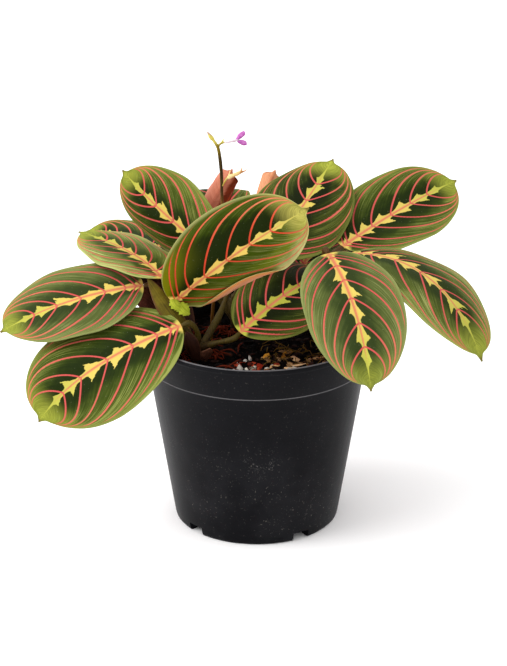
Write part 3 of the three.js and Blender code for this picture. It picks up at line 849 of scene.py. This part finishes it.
def blade(shape, outline, seed, rows=BLADE_ROWS, columns=BLADE_COLUMNS, thickness=BLADE_THICKNESS,
          keel=KEEL_DEPTH):
    """A thin closed blade, which keeps each point's share of the rib, its distance across and its veins."""
    mesh = bmesh.new()
    place = mesh.verts.layers.float_vector.new("blade")
    vein_layer = mesh.verts.layers.float_vector.new("veins")
    bmesh.ops.create_grid(mesh, x_segments=columns, y_segments=rows, size=1)
    raised = bmesh.ops.extrude_face_region(mesh, geom=mesh.faces[:], use_keep_orig=True)["geom"]
    upper = {item for item in raised if isinstance(item, bmesh.types.BMVert)}
    ribs = midrib(shape, rows)
    width = shape["width"]
    halves = [max(outline(s) * width / 2, min(lerp(BASE_HALF_WIDTH, TIP_HALF_WIDTH, s), width / 6))
              for s, *_ in ribs]
    veins = veins_of(shape, ribs, halves, seed) if keel else None
    for vert in mesh.verts:
        r, k = round((vert.co.y + 1) / 2 * rows), round((vert.co.x + 1) / 2 * columns)
        s, half, share = ribs[r][0], halves[r], abs(vert.co.x)
        across = vert.co.x * half
        point, normal = blade_point(shape, ribs[r], half, across)
        bay, steep, run = veins[r][k] if veins else (0, 1, 0)
        swell = QUILTING * abs(sin(pi * clamp(bay, 0, QUILTED_BAYS))) ** 0.8
        swell *= smooth(share, 0.02, 0.2) * (1 - smooth(share, 0.7, 1))
        if vert in upper:
            lift = thickness / 2 + swell
        else:
            lift = swell - thickness / 2 - keel * (1 - 0.8 * s) * max(1 - abs(across) / KEEL_HALF_WIDTH, 0)
        vert.co = point + normal * lift
        vert[place] = (s, across, half)
        vert[vein_layer] = (bay, steep, run)
    rim = set()
    for face in mesh.faces:
        raised_corners = sum(vert in upper for vert in face.verts)
        if raised_corners == 0:
            face.material_index = 1
        elif raised_corners < len(face.verts):
            rim.add(face)
    for face in rim:
        for edge in face.edges:
            edge.smooth = all(other in rim for other in edge.link_faces)
    face_outwards(mesh)
    return mesh


# Blades that differ from the usual
STYLES = {
    # The centre blade's backlit greens and glow are painted light shining through it, and its tilt paints a
    # sheen on one side
    "centre": dict(greens=BACKLIT_GREENS, coral=RED, band=ORANGE_BAND, under=dict(colors=FOLD_UNDERSIDE),
                   least=1.6, lobes=0.85, tilt=-0.34, lines=0.3, backlit_glow=BACKLIT_GLOW, tipward=0.35, tip_glow=0.8),
    "mid_left": dict(greens=PALE_GREENS, lines=0.9, lobes=1.1),
    # Its tilt paints a sheen on one side of the blade
    "upper_left": dict(tilt=-0.1),
    "drooping_right": dict(greens=LIGHT_GREENS, lines=1.0, lobes=1.35),
    "upper_right": dict(greens=DEEP_GREENS, lines=0.9, tip_glow=0.85),
    "low_centre": dict(greens=DEEP_GREENS, band=LIME_BAND, least=2.6, lobes=1.25),
    "front_right": dict(greens=SOFT_GREENS, lobes=0.9, lines=0.7, tip_glow=0.5),
    "far_left": dict(greens=SOFT_GREENS),
    "rolled_young": dict(under=dict(colors=YOUNG_UNDERSIDE, strength=0.25, flanks=YOUNG_FLANKS)),
    "rolled_back": dict(under=dict(colors=BACK_UNDERSIDE, strength=0.25)),
}

for number, shape in enumerate(LEAVES):
    tag = shape["name"]
    seed = SEED_STEP * number
    style = dict(STYLES.get(tag, {}))
    under = underside_finish("under_" + tag, seed, **style.pop("under", {}))
    upper = leaf_finish("upper_" + tag, rib_length(shape), seed, **style)
    slot = "young_leaf" if "roll" in shape else "leaf_green"
    piece("blade_" + tag, blade(shape, oval_outline, seed), [upper, under], slot, "leaf_" + tag)

# Shoots


def petiole(shape, route):
    """A leaf's stalk, which ends in the small joint under the blade."""
    base, _, _, bend = rib_points(shape)
    along = (bend - base).normalized()
    points = [*route, base - along * APPROACH, base - along * JOINT_GAP]
    return tube(points, PETIOLE_RADII, PETIOLE_STEPS, PETIOLE_SIDES)


stem_skin = stem_finish()
shapes = {shape["name"]: shape for shape in LEAVES}
for tag, (cane, petioles) in SHOOTS.items():
    root = cane[0]
    points = [(*root, ROOT_END), (*root, ROOT_MIDDLE), (*root, ROOT_TOP), *cane[1:]]
    parts = [tube(points, CANE_RADII, CANE_STEPS, CANE_SIDES)]
    parts += [petiole(shapes[name], route) for name, route in petioles.items()]
    skin = refined(gather(parts), ("REMESH", dict(mode="VOXEL", voxel_size=SHOOT_VOXEL)),
                   ("SMOOTH", dict(factor=0.5, iterations=4)))
    piece(tag + "_skin", skin, [stem_skin], "stem", tag)

# Sheaths, by their skin: its dark, light and edge colours, and the scraps that have it
SHEATHS = {
    "olive_sheath": (((64, 52, 4), (112, 98, 16), (92, 60, 26)), [
        leaf("olive", (-40, -28, 126), (-53, -25, 145), (-65.5, -15, 161), (0.3, -0.9, 0.35), 12, 0.35, 15)]),
    "brown_sheath": (((28, 12, 6), (60, 30, 18), (70, 40, 24)), [
        leaf("brown", (-41, -9, 124), (-51, 0, 142), (-59, 9, 155.5), (0.1, -0.9, 0.5), 18, 0.3, 10),
        leaf("screen", (-50, 3, 145), (-60, 6, 151), (-73, 9, 152.5), (0.1, -0.8, 0.6), 14, 0.1, 0),
        leaf("stub", (-36, -33, 115), (-38.5, -37, 126), (-42, -39, 136), (0.1, -0.9, 0.2), 9, 0.5, 0)]),
    "rust_sheath": (((60, 30, 18), (120, 74, 56), (96, 60, 42)), [
        leaf("torn", (-43, -4, 122), (-62, 5, 136.5), (-81, 14, 147.5), (0.1, -0.8, 0.6), 17, 0.2, -20),
        leaf("split", (-33, -34, 116), (-30, -39, 121), (-28, -43, 127), (0.3, -0.9, 0.3), 7, 0.5, 0)]),
    "lime_frill": (((128, 142, 20), (180, 186, 54), (156, 170, 46)), [
        leaf("frill_left", (-50.5, -24, 151.5), (-49, -26, 148.4), (-46, -26.6, 145.8),
             (0.1, -0.95, 0.3), 6, 0.25, 0),
        leaf("frill_right", (-46.5, -24.5, 149), (-43.8, -26.5, 145.6), (-40.5, -26.8, 142.4),
             (0.2, -0.95, 0.3), 7.5, 0.25, 0)]),
}
for tag, (colors, scraps) in SHEATHS.items():
    skin = sheath_finish(tag, *colors)
    outline = frill_outline if tag == "lime_frill" else lance_outline
    for shape in scraps:
        sheath = blade(shape, outline, 0, SHEATH_ROWS, SHEATH_COLUMNS, SHEATH_THICKNESS, keel=0)
        piece("sheath_" + shape["name"], sheath, [skin, skin], "stem")

# Flower stalk, flower and bract

stalk = refined(gather([
    tube(STALK_PATH, STALK_RADII, STALK_STEPS),
    tube(BUD_PATH, (0.8, 1.35, 1.2, 0.75, 0.2), sides=14),
    tube([(-23.2, 5, 236.9), (-22.4, 5, 238.9), (-21, 5, 240)], (0.75, 0.6, 0.7)),
    tube([(-21.3, 5, 239.7), (-20.4, 5, 241.2), (-19.8, 5, 242.9)], (0.65, 0.55, 0.15)),
    tube([(-21.3, 5, 239.7), (-20, 5, 240.2), (-18.6, 5, 240.2)], (0.65, 0.55, 0.15)),
]), ("REMESH", dict(mode="VOXEL", voxel_size=STALK_VOXEL)), ("SMOOTH", dict(factor=0.5, iterations=2)))
piece("stalk_and_bud", stalk, [stalk_finish()], "stem", "flower_stalk")

# Each lobe: its two ends and its half width
LOBES = [((-12.5, 5, 241.6), (-7.1, 5, 247), 1.6), ((-11.8, 4.6, 241.2), (-5.9, 5, 239.3), 1.65)]


def lobe(first, last, half_width):
    """A petal lobe: a flattened, slightly wrinkled oval, widest past its middle."""
    mesh = bmesh.new()
    bmesh.ops.create_icosphere(mesh, subdivisions=4, radius=1)
    first, last = Vector(first), Vector(last)
    along = (last - first) / 2
    aside = along.cross(Vector((0, 1, 0))).normalized() * half_width
    for vert in mesh.verts:
        x, y, z = vert.co * (1 + noise.noise(vert.co * 1.7 + first) * 0.12)
        wide = 0.8 + 0.3 * smooth(x, -1, 0.6)
        cup = 0.5 * z * z + 0.2 * sin(4 * z + x)
        vert.co = (first + last) / 2 + along * x + aside * (z * wide) + Vector((0, 0.45 * y + cup, 0))
    return mesh


lilac = petal_finish("lilac_petal", (156, 62, 152), (206, 116, 196))
piece("flower_lobes", gather([lobe(*one) for one in LOBES]), [lilac], "petal", "flower")
THROAT = [(-20.3, 5, 239.9), (-16.7, 5, 240.6), (-12.6, 5, 241.6), (-11, 4.6, 241.9)]
pale_lilac = petal_finish("pale_throat", (200, 176, 190), (236, 224, 228))
piece("flower_throat", tube(THROAT, (0.36, 0.38, 0.6, 0.9, 0.3)), [pale_lilac], "petal")
DRY_BRACT = [
    tube([(-20.6, 3, 213.8), (-19.3, 1, 217.1), (-17.9, 0, 219.5)], (0.3, 0.4, 0.6)),
    tube([(-18.2, 0, 219.2), (-15.2, 0, 220.9), (-12.3, 0, 222.1), (-9, -0.2, 223.8)],
         (0.5, 1.25, 1.1, 1.2, 0.85), 30, 14, 0.4, (0, -1, 0.2)),
    tube([(-10.4, -0.1, 223.1), (-9.2, -0.6, 224.9), (-8.8, -0.4, 227.3)], (0.8, 0.5, 0.12)),
    tube([(-10, 0, 223.3), (-7.6, 0.2, 223.9), (-5.8, 0, 225.1)], (0.75, 0.45, 0.12)),
    tube([(-17.9, 0, 219.5), (-16.6, 0.8, 221.8), (-15.9, 1.6, 224)], (0.35, 0.35, 0.25)),
]
piece("bract", gather(DRY_BRACT), [bract_finish()], "dry_bract", "dry_bract")

# Pot


def inside_at(height):
    slope = (BODY_TOP_RADIUS - BASE_RADIUS) / (COLLAR_FOOT - BASE_ROUND)
    return BASE_RADIUS + slope * (height - BASE_ROUND) - POT_WALL


POT_PROFILE = [
    (0, 0), (8.6, 0), (9, 0.3), (10.5, 3), (42.5, 3), (44, 0.3), (44.4, 0), (49.7, 0), (50.6, 0.25),
    (51.3, 1),
    *((lerp(BASE_RADIUS, 67.5, k / BODY_STEPS), lerp(BASE_ROUND, 102.6, k / BODY_STEPS))
      for k in range(BODY_STEPS + 1)),
    (67.75, 103.4), (68.3, 103.9), (68.8, 104.5), (69.45, 119.9), (69.6, 120.35), (69.95, 120.8), (70, 121.2),
    (70, 122.9), (69.85, 123.4), (69.4, 123.6), (68.8, 123.6), (68.45, 123.3), (68.3, 122.4), (68, 120),
    (67.2, 105.3), *((inside_at(height), height) for height in (103.3, 80, 60, 40, 20, 8, FLOOR_TOP)),
    (0, FLOOR_TOP),
]
pot = turned(POT_PROFILE, POT_STEPS)
face_outwards(pot)
cutters = bmesh.new()
for heading in NOTCH_HEADINGS:
    turn = Matrix.Rotation(radians(heading), 4, "Z") @ Matrix.Translation((0, -BASE_RADIUS, 0))
    size = Matrix.Diagonal((NOTCH_WIDTH, NOTCH_DEPTH, NOTCH_HEIGHT * 2, 1))
    bmesh.ops.create_cube(cutters, size=1, matrix=turn @ size)
cutter = add_mesh("notch_cutters", cutters)
pot = refined(pot, ("BOOLEAN", dict(object=cutter, operation="DIFFERENCE", solver="EXACT")))
bpy.data.meshes.remove(cutter.data)
for edge in pot.edges:
    edge.smooth = edge.calc_face_angle(0) < SHARP_ANGLE
piece("pot_shell", pot, [pot_finish()], "pot_plastic", "pot")

# Soil


def soil_top(x, y):
    mound = MOUND_HEIGHT * exp(-((x - MOUND[0]) ** 2 + (y - MOUND[1]) ** 2) / MOUND_SPREAD ** 2)
    rolling = 0.8 * sin(0.31 * x + 0.7) * cos(0.27 * y) + 0.6 * sin(0.47 * x - 0.36 * y)
    return SOIL_LEVEL + mound + rolling


def on_soil(x, y):
    return Vector((x, y, soil_top(x, y)))


# The top is spun at a height of 1 and the flat bottom at -1, and then each gets its own height
soil_profile = [(SOIL_RADIUS * k / SOIL_RINGS, 1) for k in range(SOIL_RINGS + 1)]
soil = turned([*soil_profile, (inside_at(SOIL_FOOT), -1), (0, -1)], SOIL_STEPS)
for vert in soil.verts:
    x, y, level = vert.co
    if level < 0:
        vert.co.z = SOIL_EDGE - SOIL_DEPTH
    else:
        share = min(hypot(x, y) / SOIL_RADIUS, 1)
        rough = noise.fractal(Vector((x, y, 0)) * SOIL_GRAIN, 0.7, 2.0, 5) * SOIL_ROUGHNESS
        vert.co.z = lerp(soil_top(x, y) + rough, SOIL_EDGE, smooth(share, 0.9, 1))
face_outwards(soil)
piece("soil_bed", soil, [soil_finish()], "potting_mix", "soil")

# How far bits turn and tilt in radians and fibres bow sideways, and the shares of a bit's size by which it is
# jagged, stands above the soil and is flattened
DRAW = random.Random(5)
TURN = (0, 6.3)
TILT = (-0.6, 0.6)
BOW = (-2, 2)
JAG = (0.55, 1.4)
BIT_RISE = 0.4
BIT_FLATNESS = 0.6

# Bits thrown on the soil: how many, the least and greatest length, breadth and thickness, two corners of the
# area that they lie in, and their colours
CHIPS = {
    "bark_chips": (220, ((3, 9), (2, 5), (0.7, 1.8)), ((-62, -62), (62, 62)),
                   ((7, 3, 2), (46, 22, 13), (84, 54, 32))),
    "rust_chips": (26, ((4, 9), (2, 4.5), (0.8, 1.6)), ((-16, -64), (52, -34)),
                   ((80, 22, 10), (170, 60, 30), (96, 40, 20))),
    "pale_grit": (60, ((2, 5), (1.6, 3.6), (0.9, 2)), ((-16, -64), (34, -42)),
                  ((96, 84, 70), (214, 206, 190), (110, 88, 66))),
    "tan_chips": (46, ((4, 11), (1.6, 3.4), (0.7, 1.6)), ((2, -62), (56, -14)),
                  ((78, 50, 24), (214, 166, 112), (110, 72, 40))),
}

# Fibres: how many, the least and greatest length, the radius, the area and the colours
# Rust fibres: their light tone is brighter than their own colour, as painted light on fibres that lie in
# shade
LIT_RUST = ((90, 28, 8), (236, 120, 50), (60, 22, 8))
STRAW = ((110, 82, 30), (226, 184, 100), (80, 52, 24))
FIBRES = {
    "rust_fibres": (16, (8, 20), 0.65, ((-46, -46), (0, 20)), LIT_RUST),
    "rust_tuft": (22, (6, 13), 0.65, ((-26, 10), (-14, 20)), LIT_RUST),
    "low_tuft": (15, (5, 12), 0.6, ((-33, -31), (-17, -22)), LIT_RUST),
    "left_tuft": (9, (4, 9), 0.5, ((-46, -34), (-38, -24)), LIT_RUST),
    "tan_fibres": (60, (4, 12), 0.32, ((2, -40), (54, -8)), STRAW),
}

# Bits that stand out: their colours, and the place, length, breadth, height, heading and tilt of each
NOTABLE = {
    "pale_bits": (((112, 102, 90), (214, 208, 198), (70, 56, 44)), [
        (-10, -42, 5, 6, 3.4, 0.4, 0.5), (-7, -34, 4, 2.6, 2.6, 1.1, 0.9), (-4, -29, 2.4, 4, 2, 0.3, 1),
        (6.5, -43, 4, 3, 2.4, -0.3, 0.2), (9.5, -39, 3.4, 2.6, 2.4, 0.7, 0.5),
        (-14, -45, 3, 2.4, 1.6, 0.2, 0.1), (0.5, -47, 3, 2, 1.6, 0.9, 0.3), (14, -45, 3, 2.2, 2, 0.1, 0.3),
        (-12, -37, 3, 2, 2, 0.8, 0.4)]),
    "tan_bits": (((150, 92, 52), (240, 196, 146), (110, 66, 40)), [
        (22.5, -28, 10, 4.2, 2.6, -0.7, 0.4), (27.7, -36, 15, 2.6, 1.6, 0.35, 0.1),
        (20.5, -41, 9, 3.4, 2, -0.3, 0.1), (13, -27, 6, 3.2, 2.4, 0.9, 0.5), (31, -26, 8, 2.6, 1.5, 1.2, 0.3),
        (40, -30, 8, 2.4, 1.4, -0.4, 0.2)]),
    "gold_bits": (((120, 70, 10), (226, 156, 52), (90, 50, 14)), [
        (5.4, -26, 5.5, 6.5, 3.6, -0.9, 0.8), (19, -16, 9, 3, 2, 0.8, 0.4),
        (16.5, -22, 8, 2.6, 2, 1.2, 0.5)]),
    "brick_bits": (((84, 18, 6), (150, 42, 20), (50, 14, 6)), [
        (1.5, -40, 4.6, 5, 3.6, 0.2, 0.6), (-2.5, -46, 4.4, 2.8, 2, 0.1, 0.2),
        (28, -46, 4, 2.4, 1.8, 0.4, 0.1)]),
}


def draw(limits):
    return DRAW.uniform(*limits)


def spot(area):
    """A random place on the soil within an area."""
    low, high = area
    while True:
        x, y = draw((low[0], high[0])), draw((low[1], high[1]))
        if hypot(x, y) < SOIL_RADIUS - SOIL_MARGIN:
            return on_soil(x, y)


def thrown(count, sizes, area):
    """Random bits: the heading, tilt, size, place and tone of each."""
    for _ in range(count):
        yield draw(TURN), draw(TILT), [draw(limits) for limits in sizes], spot(area), draw((0, 1))


def placed(bits):
    """The same of each bit that stands out."""
    for x, y, long, broad, high, heading, tilt in bits:
        yield heading, tilt, (long, broad, high * BIT_FLATNESS), on_soil(x, y), draw((0.4, 1))


def lay_chips(name, tones, bits):
    """One piece of many jagged bits of bark or grit."""
    mesh = bmesh.new()
    tone_layer = mesh.verts.layers.float.new("tone")
    for heading, tilt, size, place, tone in bits:
        turn = Matrix.Rotation(heading, 3, "Z") @ Matrix.Rotation(tilt, 3, "X")
        first = len(mesh.verts)
        bmesh.ops.create_icosphere(mesh, subdivisions=1, radius=0.5)
        mesh.verts.ensure_lookup_table()
        for vert in mesh.verts[first:]:
            jag = Vector([draw(JAG) for _ in range(3)])
            vert.co = turn @ (vert.co * jag * Vector(size)) + place + Vector((0, 0, size[2] * BIT_RISE))
            vert[tone_layer] = tone
    face_outwards(mesh)
    for edge in mesh.edges:
        edge.smooth = False
    piece(name, mesh, [chip_finish(name, *tones)], "potting_mix")


for name, (count, sizes, area, tones) in CHIPS.items():
    lay_chips(name, tones, thrown(count, sizes, area))
for name, (tones, bits) in NOTABLE.items():
    lay_chips(name, tones, placed(bits))
for name, (count, lengths, radius, area, tones) in FIBRES.items():
    fibres = []
    for _ in range(count):
        heading, length = draw(TURN), draw(lengths)
        half = Vector((cos(heading), sin(heading), 0)) * length / 2
        middle = spot(area) + Vector((0, 0, draw((0.5, 2.5))))
        bow = Vector((draw(BOW), draw(BOW), draw((0, 2.5))))
        points = [middle - half, middle + bow, middle + half]
        fibres.append(tube(points, (radius * 0.5, radius, radius * 0.4), 8, 5))
    piece(name, gather(fibres), [chip_finish(name, *tones)], "potting_mix")

# Floor, lights and camera

ground = bmesh.new()
bmesh.ops.create_grid(ground, x_segments=8, y_segments=8, size=FLOOR_HALF)
add_mesh("studio_floor", ground, [floor_finish()])


def soft_light(name, size, power, place, aim):
    lamp = bpy.data.lights.new(name, "AREA")
    lamp.shape = "DISK"
    lamp.size = size
    lamp.energy = power
    turn = (Vector(aim) - Vector(place)).to_track_quat("-Z", "Y")
    add_object(name, lamp, place).rotation_euler = turn.to_euler()


# The size and power of each light, its place and the point that it faces
soft_light("key_light", 1.6, 26, (-1.15, -0.25, 1.42), (0, 0, 0.1))
soft_light("side_light", 0.8, 8, (-1.5, -0.1, 0.35), (0, 0, 0.08))

world = bpy.data.worlds.new("studio")
world.use_nodes = True
background = world.node_tree.nodes["Background"]
background.inputs["Color"].default_value = (1, 1, 1, 1)
background.inputs["Strength"].default_value = SKY_STRENGTH
bpy.context.scene.world = world
bpy.context.scene.view_settings.view_transform = "Standard"

lens = bpy.data.cameras.new("camera")
lens.sensor_width = SENSOR
lens.lens = LENS
lens.clip_end = FAR_LIMIT
camera = add_object("camera", lens, CAMERA_PLACE)
camera.rotation_euler = (CAMERA_TILT, 0, 0)
bpy.context.scene.camera = camera
